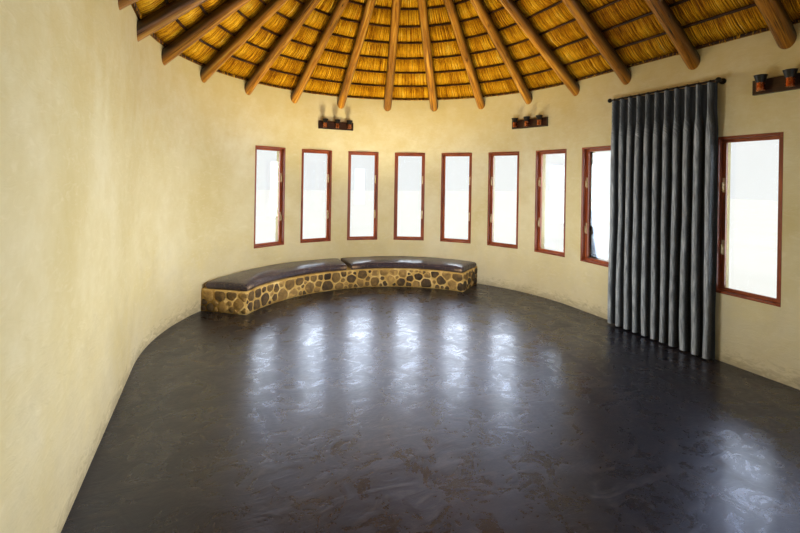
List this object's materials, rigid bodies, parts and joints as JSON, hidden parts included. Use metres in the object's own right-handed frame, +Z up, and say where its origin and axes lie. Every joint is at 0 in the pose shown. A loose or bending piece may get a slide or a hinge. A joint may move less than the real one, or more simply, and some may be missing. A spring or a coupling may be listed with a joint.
{
  "type": "round-ended thatched rondavel hut",
  "caption": "Thatched hut with plastered walls, round ends, tall narrow windows, a pole-rafter roof on laths and a curved stone bench inside.",
  "frame": {"origin": "on the ground, at the middle of the plan", "axes": "+Z up, +Y along the ridge to the round end with the bench, +X to the side with the doorway"},
  "size_m": [6.8456, 10.6456, 5.6075],
  "materials": {
    "plaster": "trowelled plaster, matt",
    "screed": "polished and sealed",
    "stained_frame": "stained and varnished",
    "stained_sash": "stained and varnished",
    "window_pane": "clear",
    "brass_fitting": "satin",
    "rafter_pole": "peeled gum pole, oiled",
    "lath_wood": "split lath",
    "thatch_grass": "combed grass",
    "ridge_mortar": "wood-floated mortar",
    "rubble_stone": "rubble in mortar",
    "pad_leather": "smooth, piped edges",
    "black_rod": "satin black",
    "curtain_cloth": "heavy lined cloth",
    "dark_board": "dark stain",
    "copper_holder": "satin copper",
    "black_shade": "satin black"
  },
  "bodies": {
    "root": {"far_wall_1": "plaster", "far_wall_2": "plaster", "far_wall_3": "plaster", "far_wall_4": "plaster", "far_wall_5": "plaster", "near_wall_1": "plaster", "near_wall_2": "plaster", "near_wall_3": "plaster", "near_wall_4": "plaster", "near_wall_5": "plaster", "left_wall": "plaster", "right_wall_far": "plaster", "right_wall_near": "plaster", "over_door_wall": "plaster", "floor_slab": "screed", "door_sill": "screed", "door_frame": "stained_frame", "window_frames": "stained_frame", "door_leaf": "stained_sash", "window_sashes": "stained_sash", "door_glass": "window_pane", "window_glass": "window_pane", "door_handle": "brass_fitting", "window_fasteners": "brass_fitting", "rafters_far": "rafter_pole", "rafters_near": "rafter_pole", "rafters_side": "rafter_pole", "ridge_pole": "rafter_pole", "laths_far": "lath_wood", "laths_near": "lath_wood", "laths_side": "lath_wood", "thatch_far": "thatch_grass", "thatch_near": "thatch_grass", "thatch_left": "thatch_grass", "thatch_right": "thatch_grass", "ridge_cap": "ridge_mortar", "bench_stone": "rubble_stone", "pad_left": "pad_leather", "pad_right": "pad_leather", "curtain_rod": "black_rod", "curtain_rings": "black_rod", "curtain": "curtain_cloth", "wall_light_boards": "dark_board", "wall_light_holders": "copper_holder", "wall_light_shades": "black_shade"}
  },
  "joints": []
}
